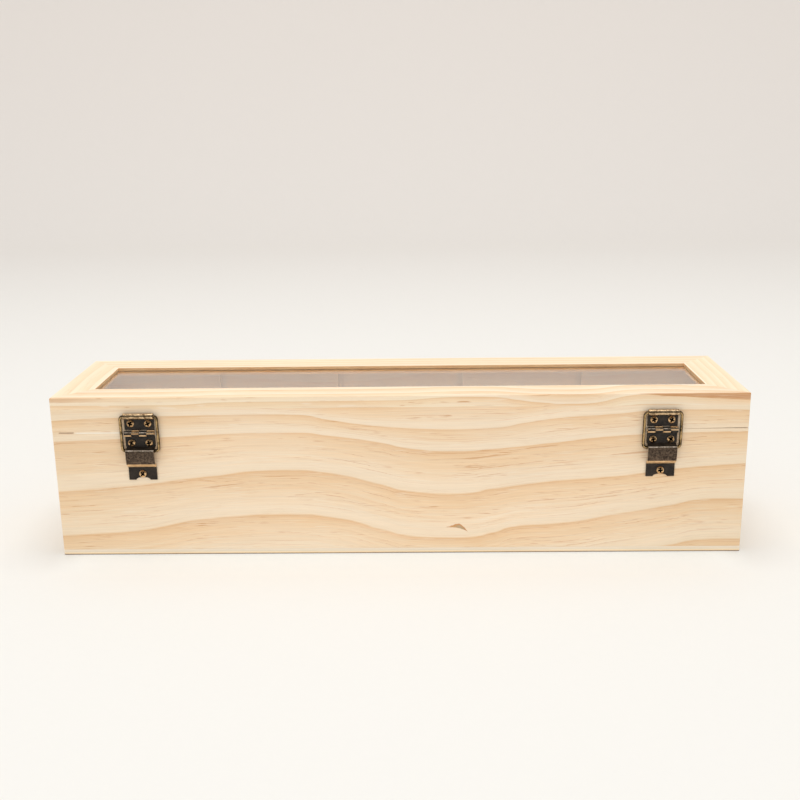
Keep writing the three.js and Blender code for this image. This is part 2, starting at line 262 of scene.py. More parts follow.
# The ring lines that cross the back board, as heights along its length, from the lowest line up
BACK_LINES = [
    [(-175, 10.5), (-140, 12.5), (-92, 20), (-55, 21.5), (-37, 20), (-8, 12.5), (12, 8.5), (30, 8),
     (47, 10.5), (62, 14.5), (80, 15.5), (108, 20), (140, 25.5), (158, 28.5), (175, 28.5)],
    [(-175, 34.5), (-142, 37), (-95, 42.5), (-55, 45.5), (-38, 44), (-10, 37.5), (10, 33), (26, 32),
     (46, 34.5), (77, 38.5), (110, 41), (142, 45), (175, 47.5)],
    [(-175, 61.5), (-120, 63.5), (-55, 65.5), (-38, 64), (-10, 60), (10, 56), (26, 55), (46, 56),
     (77, 59), (110, 62.5), (142, 64), (175, 64.5)],
    [(-175, 72.5), (-120, 74.5), (-55, 75), (-38, 72.5), (-10, 68.5), (10, 67), (28, 66.5), (46, 67),
     (62, 69.5), (80, 72), (110, 74), (142, 76), (175, 75.5)],
    [(-175, 84), (-80, 83), (-45, 79.5), (-20, 78.5), (0, 79), (28, 80), (60, 80), (76, 81.5),
     (92, 85), (175, 87)],
]
RING_BELOW = 22
RING_ABOVE = 11.0
RING_DEPTH = 6.0


def back_rings(along, across, into):
    """The ring number on the back board, which goes up by one at each of its lines."""
    lines = [along.through(points) for points in BACK_LINES]
    number = ((across - lines[0]) / RING_BELOW).math("MINIMUM", 0.0)
    for low, high in zip(lines, lines[1:]):
        number = number + ((across - low) / (high - low)).clamped()
    number = number + ((across - lines[-1]) / RING_ABOVE).math("MAXIMUM", 0.0)
    return number + into / RING_DEPTH


def drifting_rings(spacing, wave, depth, seed):
    """Ring numbers of a board without lines of its own: a slow wave at that spacing."""
    def rings(along, across, into):
        drift = vector(along, across, into).noise((110, 70, 70), seed, 1.0) - 0.5
        return (across + drift * wave) / spacing + into / depth
    return rings


def pine(name, axes, rings, seed, contrast=1.0, pale=PALE_WOOD, extra=None):
    """Pine whose grain runs along the first of its axes.

    The three board axes run along the grain, across the board, and into it from its outer face.
    contrast is the strength of the rings, and extra may add marks of its own to the colour.
    """
    material, tree, shader = new_material(name)
    place = split(millimetres(tree))
    along, across, into = [(place[axis] - start) * way for axis, way, start in axes]
    board = vector(along, across, into)
    fray = board.noise((16, 0.9, 0.9), seed) - 0.5
    number = rings(along, across, into) + fray * 0.04
    position = number.math("FRACT") * -1.0 + 1.0
    follow = vector(along, number * 20.0, into * 0.2)

    # The ring's colours, broken up into streaks that follow it
    streaks = follow.noise((55, 1.3, 6), seed + 7, 3.0, 0.65) - 0.5
    inside_ring = position.rising(0.03, 0.25) * position.rising(0.97, 0.8)
    colour = (position + streaks * inside_ring * 0.9).ramp(RING)
    strength = board.noise((60, 20, 20), seed + 1, 1.0).rising(0.3, 0.6) * 0.3 + 0.7
    colour = colour.towards(pale, strength * -contrast + 1.0)

    # Finer lines, fibres and cloudy patches
    fine_lines = follow.noise((60, 0.7, 9), seed + 2, 3.0, 0.65)
    fibres = board.noise((30, 0.45, 0.45), seed + 3, 3.0, 0.6)
    patches = board.noise((60, 16, 16), seed + 4, 2.0)
    shade = (fine_lines - 0.5) * 0.17 + (fibres - 0.5) * 0.16 + (patches - 0.5) * 0.08 + BRIGHTNESS
    colour = colour.scaled(shade)

    # Resin in short dashes, most of them in the harder half of a ring, and a few pale ones
    hard = position.rising(0.85, 0.5)
    clusters = follow.noise((28, 4.0, 8), seed + 9, 1.0).rising(0.44, 0.62)
    short_dashes = board.noise((10, 0.34, 2.0), seed + 5, 1.0).rising(0.62, 0.74)
    long_dashes = follow.noise((34, 0.5, 6.0), seed + 6, 0.0).rising(0.7, 0.8)
    marks = (short_dashes * clusters + long_dashes * 0.7) * (hard * 0.75 + 0.25) * contrast
    colour = colour.towards(RESIN, marks.clamped() * 0.78)
    pale_dashes = board.noise((14, 0.4, 2.0), seed + 10, 0.0).rising(0.68, 0.78)
    colour = colour.towards(PALE_DASH, pale_dashes * 0.5)
    if extra:
        colour = extra(colour, along, across, into)

    feed(shader.inputs["Base Color"], colour)
    feed(shader.inputs["Roughness"], fibres * 0.12 + 0.5)
    feed(shader.inputs["Specular IOR Level"], 0.4)
    add_bump(tree, shader, fine_lines * 0.6 + fibres * 0.4 - marks * 0.3, 0.05)
    return material


def bark_fleck(colour, along, across, into):
    """A small triangle of bark that the saw left in the back board."""
    crest = along.through([(24, 14.2), (27, 15.1), (30.2, 16.0), (32.2, 14.9), (34.8, 11.8), (36, 10)])
    floor = along.through([(24, 14.3), (28, 14.1), (32, 13.2), (34.8, 11.8), (36, 10.5)])
    ragged = vector(along, across, into).noise((1.5, 0.5, 0.5), 8) - 0.5
    below_crest = crest - across + ragged * 0.7
    above_floor = across - floor + ragged * 0.5
    inside = below_crest.rising(-0.2, 0.2) * above_floor.rising(-0.35, 0.1)
    bark = along.ramp_between(24, 36, [
        (0.0, tint(220, 178, 124)),
        (0.35, tint(204, 162, 112)),
        (0.55, tint(194, 168, 134)),
        (0.72, tint(192, 160, 120)),
        (0.82, tint(160, 108, 64)),
        (1.0, tint(190, 138, 90)),
    ])
    bark = bark.towards(tint(212, 154, 98), below_crest.rising(1.0, 0.45))
    return colour.towards(bark, inside * into.rising(1.5, 0.5))


def nick_and_arris_highlight(colour, along, across, into):
    """At the left end of the parting line: a brown nick the saw left, and a pale line that is a painted
    highlight along the eased arris.
    """
    from_line = (across - parting_z).math("ABSOLUTE")
    skin = into.rising(2.5, 2.0)
    nick = along.rising(-172.0, -171.4) * along.rising(-163.6, -165.0) * from_line.rising(0.3, 0.1)
    # Painted highlight: the pale line along the parting line's arris
    pale = along.rising(-164.5, -162.0) * along.rising(-139.0, -142.0) * from_line.rising(0.45, 0.1)
    colour = colour.towards(tint(255, 246, 230), pale * skin * 0.9)
    return colour.towards(tint(176, 122, 84), nick * skin * 0.6)


def back_marks(colour, along, across, into):
    """The marks on the back board, which is also a little darker towards its ends."""
    ends = along.math("ABSOLUTE").rising(75, 185)
    colour = colour.towards(END_SHADE, ends, "MULTIPLY")
    return nick_and_arris_highlight(bark_fleck(colour, along, across, into), along, across, into)


def edge_rings(along, across, into):
    """The rings on the back frame rail, whose dark line rises and falls along its outer edge."""
    line = along.through([
        (-175, 80.5), (-115, 80.4), (-88, 81.6), (0, 82), (35, 83.5), (58, 81.8), (74, 80), (90, 79.4),
        (124, 84), (150, 82.6), (175, 81.2),
    ])
    height = into * -1.0 + top_z
    return (height - line) / 5.0 + across / 9.0


def edge_marks(colour, along, across, into):
    """Dark streaks and a bruised corner on the back frame rail's outer edge."""
    height = into * -1.0 + top_z
    ragged = vector(along, across, into).noise((9, 0.6, 0.6), 45, 3.0) - 0.5
    floor = along.through([(108, 85), (120, 84), (150, 82.1), (175, 80.8)])
    wedge = (height - floor + ragged).rising(0.0, 0.7)
    wedge = wedge * along.rising(112, 126) * (ragged * 0.8 + 0.9).clamped()
    end_stain = along.rising(-135, -172) * (ragged * 3.0 + height).rising(82, 83)
    marks = (wedge + end_stain * 0.5).clamped() * across.rising(0.7, 0.2)
    colour = colour.towards(tint(202, 143, 90), marks * 0.9)
    from_bruise = vector(along + 174.8, (across - 3.0) * 0.3, into).length()
    bruise = (from_bruise + ragged).rising(1.5, 0.5)
    return colour.towards(tint(222, 156, 98), bruise * 0.7)


rail_low, rail_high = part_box("frame_rail_front")
RAIL_WIDTH = (rail_high.y - rail_low.y) / MM
# Partly painted light: the rails' paler pine also stands in for the light from above on their tops
PALE_RAIL_WITH_TOP_LIGHT = tint(243, 228, 195)
RAIL_ARRIS_HIGHLIGHT = tint(255, 248, 228)


def rail_pine(side, axes, rings, seed, contrast, marks=None):
    """Paler pine for the window frame, its paleness partly painted light from above, with a pale arris that
    is partly sanded wood and partly a painted highlight, and browner cut faces round the window.
    """
    def extra(colour, along, across, into):
        if marks:
            colour = marks(colour, along, across, into)
        cut_face = across.rising(RAIL_WIDTH - 0.2, RAIL_WIDTH - 0.05)
        streaks = vector(along, across, into).noise((12, 0.5, 0.5), seed + 20, 3.0)
        brown = streaks.ramp([(0.3, tint(234, 174, 116)), (0.7, tint(253, 210, 154))])
        # Painted highlight, partly sanded wood, along the eased arris of the window
        arris_highlight = across.rising(RAIL_WIDTH - 0.9, RAIL_WIDTH - 0.4)
        return colour.towards(RAIL_ARRIS_HIGHLIGHT, arris_highlight * 0.6).towards(brown, cut_face * 0.9)

    return pine(f"pine_rail_{side}", axes, rings, seed, contrast, PALE_RAIL_WITH_TOP_LIGHT, extra)


def drifting_pine(side, axes, spacing, wave, depth, seed, contrast=1.0):
    return pine(f"pine_{side}", axes, drifting_rings(spacing, wave, depth, seed), seed, contrast)


def drifting_rail(side, axes, spacing, wave, depth, seed, contrast=0.5):
    return rail_pine(side, axes, drifting_rings(spacing, wave, depth, seed), seed, contrast)


def make_pines():
    """The pine of each board; the last numbers are seeds and contrasts."""
    rail_back_axes = (ALONG_X, FROM_BACK, FROM_TOP)
    return {
        "back": pine("pine_back", (ALONG_X, UP, FROM_BACK), back_rings, 1, 0.97, extra=back_marks),
        "front": drifting_pine("front", (ALONG_X, UP, FROM_FRONT), 21, 26, 6, 12, 0.55),
        "left": drifting_pine("left", (ALONG_Y, UP, FROM_LEFT), 13, 16, 7, 23),
        "right": drifting_pine("right", (ALONG_Y, UP, FROM_RIGHT), 15, 16, -7, 34),
        "rail_back": rail_pine("back", rail_back_axes, edge_rings, 41, 1.0, edge_marks),
        "rail_front": drifting_rail("front", (ALONG_X, FROM_FRONT, FROM_TOP), 5, 5, 9, 52, 0.8),
        "rail_left": drifting_rail("left", (ALONG_Y, FROM_LEFT, FROM_TOP), 8, 15, 9, 63),
        "rail_right": drifting_rail("right", (ALONG_Y, FROM_RIGHT, FROM_TOP), 4.5, 8, 9, 74),
    }


# Plywood

# The base panel's colours by height, from a brown line along its underside up to its top
PANEL_COLOURS_BY_HEIGHT = [
    (0.0, tint(112, 76, 50)),
    (0.13, tint(150, 108, 72)),
    (0.2, tint(250, 222, 180)),
    (0.42, tint(252, 230, 196)),
    (0.5, tint(240, 224, 200)),
    (0.93, tint(244, 228, 206)),
    (1.0, tint(240, 219, 187)),
]


def finish_plywood(shader, tree, colour, lines, patches):
    feed(shader.inputs["Base Color"], colour.scaled((lines - 0.5) * 0.14 + (patches - 0.5) * 0.1 + 1.0))
    feed(shader.inputs["Roughness"], lines * 0.15 + 0.55)
    feed(shader.inputs["Specular IOR Level"], 0.35)
    add_bump(tree, shader, lines, 0.05)


def panel_plywood():
    material, tree, shader = new_material("plywood_panel")
    place = millimetres(tree)
    colour = (split(place)[Z_AXIS] / panel_z).ramp(PANEL_COLOURS_BY_HEIGHT)
    lines = place.noise((45, 0.9, 0.9), 81, 3.0, 0.6)
    finish_plywood(shader, tree, colour, lines, place.noise((40, 30, 30), 82))
    return material


def divider_plywood():
    material, tree, shader = new_material("plywood_divider")
    place = millimetres(tree)
    lines = place.noise((0.9, 45, 0.9), 91, 3.0, 0.6)
    colour = lines.ramp([(0.35, tint(232, 204, 164)), (0.65, tint(243, 220, 186))])
    finish_plywood(shader, tree, colour, lines, place.noise((30, 40, 20), 92))
    return material


# Glass and metal

def clear_glass():
    """Glass that bends and mirrors what is seen in it, and lets the lamps' light through to the inside."""
    material, tree, shader = new_material("clear_glass")
    feed(shader.inputs["Base Color"], (1.0, 1.0, 1.0, 1.0))
    feed(shader.inputs["Transmission Weight"], 1.0)
    feed(shader.inputs["Roughness"], 0.0)
    feed(shader.inputs["IOR"], 1.5)
    output = tree.nodes["Material Output"]
    lamps = tree.nodes.new("ShaderNodeBsdfTransparent")
    feed(lamps.inputs["Color"], (1.0, 1.0, 1.0, 1.0))
    path = tree.nodes.new("ShaderNodeLightPath")
    mix = tree.nodes.new("ShaderNodeMixShader")
    tree.links.new(path.outputs["Is Shadow Ray"], mix.inputs[0])
    tree.links.new(shader.outputs[0], mix.inputs[1])
    tree.links.new(lamps.outputs[0], mix.inputs[2])
    tree.links.new(mix.outputs[0], output.inputs["Surface"])
    return material


def metal(name, dark, light, metallic, rough, seed, grain=1.0, specular=0.5, rubbed=None):
    """Mottled metal: two colours mixed by cloudy patches and a fine speckle.

    grain is the size of the patches. rubbed is a brighter colour for the side that faces away from the
    wall, where hands rub it.
    """
    material, tree, shader = new_material(name)
    place = millimetres(tree)
    clouds = place.noise((3.0 * grain, 3.0 * grain, 3.0 * grain), seed, 3.0, 0.6)
    speckle = place.noise((0.35, 0.35, 0.35), seed + 1, 2.0)
    share = (clouds * 0.6 + speckle * 0.4).rising(0.35, 0.68)
    colour = share.ramp([(0.0, dark), (1.0, light)])
    if rubbed:
        coordinates = tree.nodes.new("ShaderNodeTexCoord")
        outwards = split(Value(coordinates.outputs["Normal"]))[Y_AXIS] * -1.0
        colour = colour.towards(rubbed, (outwards + (clouds - 0.5) * 1.2).rising(0.6, 1.1))
    feed(shader.inputs["Base Color"], colour)
    feed(shader.inputs["Metallic"], metallic)
    feed(shader.inputs["Roughness"], speckle * 0.2 + (rough - 0.1))
    feed(shader.inputs["Specular IOR Level"], specular)
    add_bump(tree, shader, speckle * 0.5 + clouds * 0.5, 0.03)
    return material


def make_metals():
    return {
        "black": metal(
            "bronze_black", tint(30, 24, 19), tint(57, 48, 39),
            metallic=0.0, rough=0.42, seed=101, specular=0.25,
        ),
        "brown": metal(
            "bronze_brown", tint(46, 36, 28), tint(118, 100, 84),
            metallic=0.85, rough=0.42, grain=0.4, seed=103,
        ),
        "rubbed": metal(
            "bronze_rubbed", tint(104, 78, 54), tint(252, 220, 174),
            metallic=1.0, rough=0.22, grain=0.5, seed=113,
        ),
        "edge": metal(
            "brass_worn_edge", tint(206, 158, 104), tint(255, 222, 168),
            metallic=1.0, rough=0.28, grain=0.8, seed=105,
        ),
        # Pale, mostly diffuse worn brass: partly worn coat, partly a painted highlight that makes bends
        # facing down look bright
        "fold": metal(
            "brass_worn_fold_highlight", tint(206, 160, 110), tint(250, 212, 160),
            metallic=0.3, rough=0.5, grain=0.8, seed=117,
        ),
        # Pale grey bronze for the bridge's crest and the case knuckles' tops: partly worn coat, partly a
        # painted highlight of the overhead light
        "crest": metal(
            "bronze_rubbed_grey_highlight", tint(118, 102, 84), tint(236, 220, 200),
            metallic=0.9, rough=0.35, grain=0.6, seed=119,
        ),
        "wire": metal(
            "bronze_wire", tint(38, 29, 20), tint(84, 66, 42),
            metallic=0.9, rough=0.26, grain=0.7, seed=107, rubbed=tint(186, 155, 108),
        ),
        "screw": metal(
            "brass_screw", tint(172, 130, 86), tint(255, 216, 164),
            metallic=1.0, rough=0.28, grain=0.5, seed=109,
        ),
        "recess": metal(
            "bronze_recess", tint(6, 5, 5), tint(12, 10, 9),
            metallic=0.0, rough=0.8, seed=111, specular=0.0,
        ),
    }


# Meshes

def new_object(name, bm, materials=()):
    """An object in the scene with the mesh that bm holds."""
    mesh = bpy.data.meshes.new(name)
    bm.to_mesh(mesh)
    bm.free()
    for material in materials:
        mesh.materials.append(material)
    obj = bpy.data.objects.new(name, mesh)
    bpy.context.scene.collection.objects.link(obj)
    return obj


def bake_modifiers(obj):
    """Puts obj's modifiers into its mesh."""
    graph = bpy.context.evaluated_depsgraph_get()
    mesh = bpy.data.meshes.new_from_object(obj.evaluated_get(graph), depsgraph=graph)
    obj.modifiers.clear()
    obj.data = mesh


def combine(obj, other, operation):
    """Cuts other from obj, or keeps what is in both, and throws other away."""
    modifier = obj.modifiers.new("combine", "BOOLEAN")
    modifier.operation = operation
    modifier.object = other
    modifier.solver = "EXACT"
    modifier.material_mode = "TRANSFER"
    bake_modifiers(obj)
    bpy.data.objects.remove(other)


def add_bevel(obj, width, segments, angle=40, material=-1):
    """Rounds the edges sharper than the angle; material is the slot of the new faces."""
    modifier = obj.modifiers.new("bevel", "BEVEL")
    modifier.width = width * MM
    modifier.segments = segments
    modifier.limit_method = "ANGLE"
    modifier.angle_limit = math.radians(angle)
    modifier.material = material
    modifier.miter_outer = "MITER_ARC"
    bake_modifiers(obj)


def smooth(obj, angle=32):
    """Smooth shading, with edges sharper than the angle kept crisp and flat faces kept flat."""
    for polygon in obj.data.polygons:
        polygon.use_smooth = True
    obj.data.set_sharp_from_angle(angle=math.radians(angle))
    modifier = obj.modifiers.new("weighted_normals", "WEIGHTED_NORMAL")
    modifier.keep_sharp = True


def settle(obj, body, node):
    """The last step of a piece: what it moves with, and the CAD node it stands for."""
    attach(obj, body)
    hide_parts(node)


# Wooden boards

OUTER_EASE = 0.45
WINDOW_EASE = 0.3
JOINT_EASE = 0.07
BACK_JOINT_EASE = 0.02
GLASS_EASE = 0.1
DIVIDER_EASE = 0.15
DIVIDERS = 4
WELD_DISTANCE = 0.001 * MM
FLAT_ANGLE = math.radians(0.1)

# Each board's CAD node, body, material and slot
BOARDS = {
    "base_panel": ("bottom_panel", "case", "panel", "plywood"),
    "back_wall": ("wall_back", "case", "back", "pine"),
    "front_wall": ("wall_front", "case", "front", "pine"),
    "left_wall": ("wall_left", "case", "left", "pine"),
    "right_wall": ("wall_right", "case", "right", "pine"),
    "lid_back_side": ("lid_side_back", "lid", "back", "pine"),
    "lid_front_side": ("lid_side_front", "lid", "front", "pine"),
    "lid_left_side": ("lid_side_left", "lid", "left", "pine"),
    "lid_right_side": ("lid_side_right", "lid", "right", "pine"),
    "back_frame_rail": ("frame_rail_back", "lid", "rail_back", "pine"),
    "front_frame_rail": ("frame_rail_front", "lid", "rail_front", "pine"),
    "left_frame_rail": ("frame_rail_left", "lid", "rail_left", "pine"),
    "right_frame_rail": ("frame_rail_right", "lid", "rail_right", "pine"),
}


def rounded_envelope():
    """The closed case as one block with its outer edges eased, as sanding after glue-up leaves it."""
    bm = bmesh.new()
    bmesh.ops.create_cube(bm, size=1.0)
    size = (case_high - case_low) * MM
    centre = (case_high + case_low) / 2 * MM
    bmesh.ops.transform(bm, matrix=Matrix.LocRotScale(centre, None, size), verts=bm.verts)
    bmesh.ops.bevel(bm, geom=bm.edges[:], offset=OUTER_EASE * MM, segments=5, affect="EDGES", profile=0.5)
    return new_object("rounded_envelope", bm)


def window_edges(bm, low, high):
    """The top edges of a rail that run round the window, so inside the lid's outline."""
    inner = 0.1 * MM

    def inside(vertex):
        x, y, z = vertex.co
        within_x = low.x + inner < x < high.x - inner
        within_y = low.y + inner < y < high.y - inner
        return within_x and within_y and abs(z - high.z) < inner

    return [edge for edge in bm.edges if all(inside(vertex) for vertex in edge.verts)]


def make_board(name, node, body, material, envelope):
    """A CAD board rebuilt with eased edges, cut to the envelope of the whole case."""
    bm = bmesh.new()
    bm.from_mesh(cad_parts[node].data)
    bmesh.ops.remove_doubles(bm, verts=bm.verts, dist=WELD_DISTANCE)
    bmesh.ops.dissolve_limit(bm, angle_limit=FLAT_ANGLE, verts=bm.verts, edges=bm.edges)
    if node.startswith("frame_rail"):
        edges = window_edges(bm, case_low * MM, case_high * MM)
        bmesh.ops.bevel(bm, geom=edges, offset=WINDOW_EASE * MM, segments=4, affect="EDGES", profile=0.5)
    board = new_object(name, bm, [material])
    shell = envelope.copy()
    bpy.context.scene.collection.objects.link(shell)
    combine(board, shell, "INTERSECT")
    add_bevel(board, BACK_JOINT_EASE if "back" in node else JOINT_EASE, 1)
    smooth(board)
    settle(board, body, node)


def make_boards(materials):
    envelope = rounded_envelope()
    for name, (node, body, material, slot) in BOARDS.items():
        make_board(name, node, body, materials[material], envelope)
    bpy.data.objects.remove(envelope)


def refine_node(node, material, ease):
    """Gives a carried-over node its finish, and eases its edges without touching its mesh."""
    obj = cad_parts[node]
    obj.data.materials.clear()
    obj.data.materials.append(material)
    weld = obj.modifiers.new("weld", "WELD")
    weld.merge_threshold = WELD_DISTANCE
    bevel = obj.modifiers.new("ease", "BEVEL")
    bevel.width = ease * MM
    bevel.segments = 2
    bevel.limit_method = "ANGLE"
    bevel.angle_limit = math.radians(40)


# Hinge parts, drawn in millimetres: x along the pin, out from the wall and z up from the pin's height

SHEET = 0.7
LEAF_MID = SHEET / 2
LEAF_HALF = 7.55
BRIDGE_HALF = 7.15
KNUCKLES = 4
KNUCKLE_GAP = 0.2
BARREL_OUT = 1.7
BARREL_MID = 1.15
LEAF_EDGE_Z = 1.75
LEAF_BOTTOM_Z = -24.8
NOTCH_HALF = 3.6
NOTCH_RISE = 1.4
CURL_OUT = 1.9
CURL_Z = 9.1
WIRE_RADIUS = 0.75
LEAF_EASE = 0.27
LID_SCREWS = [(-4.4, 5.0), (4.4, 5.0)]
CASE_SCREWS = [(-4.4, -5.1), (4.4, -5.1), (0, -21.5)]
SCREW_HOLE = 1.3
CUTTER_LENGTH = 6


def hinge_frame(pin_node):
    """Turns hinge millimetres, with out as -Y, into the scene's metres."""
    low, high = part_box(pin_node)
    origin = Vector(((low.x + high.x) / 2, back_y * MM, (low.z + high.z) / 2))
    return Matrix.Translation(origin) @ Matrix.Diagonal((MM, -MM, MM, 1.0))


def rounded_path(points, radius, steps=5):
    """The points joined by straight lines, with each corner rounded."""
    path = [Vector(points[0])]
    for before, corner, after in zip(points, points[1:], points[2:]):
        corner = Vector(corner)
        back, ahead = Vector(before) - corner, Vector(after) - corner
        half_angle = back.angle(ahead) / 2
        reach = min(radius / math.tan(half_angle), back.length * 0.45, ahead.length * 0.45)
        start = corner + back.normalized() * reach
        end = corner + ahead.normalized() * reach
        for step in range(steps + 1):
            t = step / steps
            path.append(start.lerp(corner, t).lerp(corner.lerp(end, t), t))
    path.append(Vector(points[-1]))
    return path


def arc(centre, radius, start, end, steps):
    """Points round a centre from one angle to another, in degrees; 0 is outwards and 90 is up."""
    angles = [math.radians(start + (end - start) * step / steps) for step in range(steps + 1)]
    return [Vector((centre[0] + radius * math.cos(a), centre[1] + radius * math.sin(a))) for a in angles]


def grid_sheet(bm, path, columns):
    """A sheet that follows the path, (out, z), with an edge at each of the columns along x."""
    rows = [[bm.verts.new((x, out, z)) for x in columns] for out, z in path]
    for row, below in zip(rows, rows[1:]):
        for i in range(len(columns) - 1):
            bm.faces.new((row[i], row[i + 1], below[i + 1], below[i]))
    return rows


def knuckle_span(index):
    """Where a knuckle starts and ends along the pin."""
    width = (2 * LEAF_HALF - (KNUCKLES - 1) * KNUCKLE_GAP) / KNUCKLES
    start = -LEAF_HALF + index * (width + KNUCKLE_GAP)
    return round(start, 4), round(start + width, 4)


def knuckle_path(side):
    """From the leaf's edge round the pin to a lip against the leaf; side is 1 for the lid, -1 below."""
    roll = [(out, side * z) for out, z in arc((BARREL_OUT, 0), BARREL_MID, 180, 470, 30)]
    lip = [(1.2, side * 1.38), (1.13, side * 1.6)]
    return [Vector((LEAF_MID, side * LEAF_EDGE_Z)), *map(Vector, roll), *map(Vector, lip)]


def leaf_columns(indices):
    """Where a leaf's sheet has an edge along x, so that its knuckles can grow out of it."""
    spans = [knuckle_span(i) for i in indices]
    return sorted({-LEAF_HALF, LEAF_HALF, *(x for span in spans for x in span)})


def extend_sheet(bm, edge, path):
    """Carries a sheet on from an edge row along the path; the new rows keep the edge's x."""
    previous = edge
    for out, z in path:
        row = [bm.verts.new((vertex.co.x, out, z)) for vertex in edge]
        for i in range(len(edge) - 1):
            bm.faces.new((previous[i], previous[i + 1], row[i + 1], row[i]))
        previous = row


def add_knuckles(bm, edge, indices, side):
    """Grows a leaf's knuckles out of its edge row."""
    for index in indices:
        start, end = knuckle_span(index)
        part = [vertex for vertex in edge if start - 0.01 < vertex.co.x < end + 0.01]
        extend_sheet(bm, part, knuckle_path(side)[1:])


def thicken(obj, thickness):
    """Gives a sheet its thickness, half to each side."""
    modifier = obj.modifiers.new("thicken", "SOLIDIFY")
    modifier.thickness = thickness * MM
    modifier.offset = 0.0
    modifier.use_even_offset = True
    modifier.use_quality_normals = True
    bake_modifiers(obj)
    bm = bmesh.new()
    bm.from_mesh(obj.data)
    bmesh.ops.recalc_face_normals(bm, faces=bm.faces)
    bm.to_mesh(obj.data)
    bm.free()


def into_scene(name, bm, matrix, materials):
    """A hinge part moved from hinge millimetres into the scene."""
    bmesh.ops.transform(bm, matrix=matrix, verts=bm.verts)
    bmesh.ops.recalc_face_normals(bm, faces=bm.faces)
    return new_object(name, bm, materials)


def round_cutter(name, matrix, centre, radius, sides, height_ratio=1.0):
    """A plain cutter, round or flattened, that stands out from the wall at centre, (x, z)."""
    bm = bmesh.new()
    bmesh.ops.create_cone(
        bm, cap_ends=True, segments=sides, radius1=radius, radius2=radius, depth=CUTTER_LENGTH,
        matrix=Matrix.Translation((centre[0], 0, centre[1]))
        @ Matrix.Diagonal((1, 1, height_ratio, 1))
        @ Matrix.Rotation(math.pi / 2, 4, "X"),
    )
    return into_scene(name, bm, matrix, [])


LEAF_FINISHES = ("black", "edge", "brown", "rubbed", "fold", "crest")
LID_KNUCKLES = [1, 3]
CASE_KNUCKLES = [0, 2]

# The case leaf's middle line, (out, z), from the flat part over the bridge to the tail
BRIDGE = [
    (LEAF_MID, -LEAF_EDGE_Z),
    (LEAF_MID, -7.4),
    (4.2, -8.5),
    (4.1, -12.4),
    (3.5, -15.8),
    (LEAF_MID, -17.75),
    (LEAF_MID, LEAF_BOTTOM_Z),
]
BRIDGE_BEND = 0.6
FLAT_BOTTOM_Z = -7.1


def finish_sheet(name, bm, matrix, metals, screws):
    """A leaf made from its middle surface, with its thickness and its screw holes."""
    leaf = into_scene(name, bm, matrix, [metals[finish] for finish in LEAF_FINISHES])
    thicken(leaf, SHEET)
    for i, screw in enumerate(screws):
        combine(leaf, round_cutter(f"hole_{i}", matrix, screw, SCREW_HOLE, 32), "DIFFERENCE")
    return leaf


def make_lid_leaf(name, matrix, metals):
    """The upper leaf, from the curl that holds the ring down to the knuckles."""
    bm = bmesh.new()
    curl = arc((CURL_OUT, CURL_Z), BARREL_MID, -118, 180, 30)
    below_curl = [(LEAF_MID + 0.12, 8.3), (LEAF_MID, 7.6)]
    path = [*curl, *below_curl, (LEAF_MID, LEAF_EDGE_Z)]
    rows = grid_sheet(bm, path, leaf_columns(LID_KNUCKLES))
    add_knuckles(bm, rows[-1], LID_KNUCKLES, 1)
    return finish_sheet(name, bm, matrix, metals, LID_SCREWS)


def make_case_leaf(name, matrix, metals):
    """The lower leaf: knuckles, flat part, the narrower bridge over the ring's wire, and a notched tail."""
    bm = bmesh.new()
    columns = sorted({*leaf_columns(CASE_KNUCKLES), -BRIDGE_HALF, BRIDGE_HALF})
    rows = grid_sheet(bm, [(LEAF_MID, -LEAF_EDGE_Z), (LEAF_MID, FLAT_BOTTOM_Z)], columns)
    add_knuckles(bm, rows[0], CASE_KNUCKLES, -1)
    narrow = [vertex for vertex in rows[-1] if abs(vertex.co.x) < BRIDGE_HALF + 0.01]
    extend_sheet(bm, narrow, rounded_path(BRIDGE, BRIDGE_BEND)[2:])
    leaf = finish_sheet(name, bm, matrix, metals, CASE_SCREWS)
    flatness = NOTCH_RISE / NOTCH_HALF
    combine(leaf, round_cutter("notch", matrix, (0, LEAF_BOTTOM_Z), NOTCH_HALF, 96, flatness), "DIFFERENCE")
    return leaf


# Where a leaf's black coat is worn to bronze or brass, and where bands are painted pale as highlights and
# floor reflections on the bends and knuckles: above this z, below that z, further out than this, and the
# finish
CURL_AND_BRIDGE_WEAR_AND_HIGHLIGHTS = [
    (7.6, 99.0, 1.5, "rubbed"),
    (-8.5, -7.4, 3.2, "crest"),
    (-15.6, -8.5, 3.0, "brown"),
    (-18.4, -15.6, 0.75, "fold"),
]
# On the lid knuckles the rubbed and fold bands are partly wear and partly painted highlight
LID_KNUCKLE_WEAR_AND_HIGHLIGHTS = [
    (0.95, 99.0, 2.1, "rubbed"),
    (0.95, 99.0, 0.0, "fold"),
    (0.0, 0.62, 1.9, "fold"),
]
# Painted highlight: the crest band lies where the overhead light shines on a case knuckle, and the fold
# band paints the floor's reflection below it
CASE_KNUCKLE_WEAR_AND_HIGHLIGHTS = [
    (-1.12, -0.42, 1.9, "fold"),
    (0.55, 1.1, 1.7, "crest"),
]
BARREL_REACH = 2.0
BARREL_BACK = 0.9


def worn_or_highlit_finish(x, out, z):
    """The finish of a worn or painted-highlight place on a leaf, or None where its coat is whole."""
    zones = CURL_AND_BRIDGE_WEAR_AND_HIGHLIGHTS
    if abs(z) < BARREL_REACH and out > BARREL_BACK:
        knuckle = int((x + LEAF_HALF) / (2 * LEAF_HALF) * KNUCKLES)
        zones = LID_KNUCKLE_WEAR_AND_HIGHLIGHTS if knuckle in LID_KNUCKLES else CASE_KNUCKLE_WEAR_AND_HIGHLIGHTS
    for low, high, least_out, finish in zones:
        if low < z < high and out > least_out:
            return finish
    return None


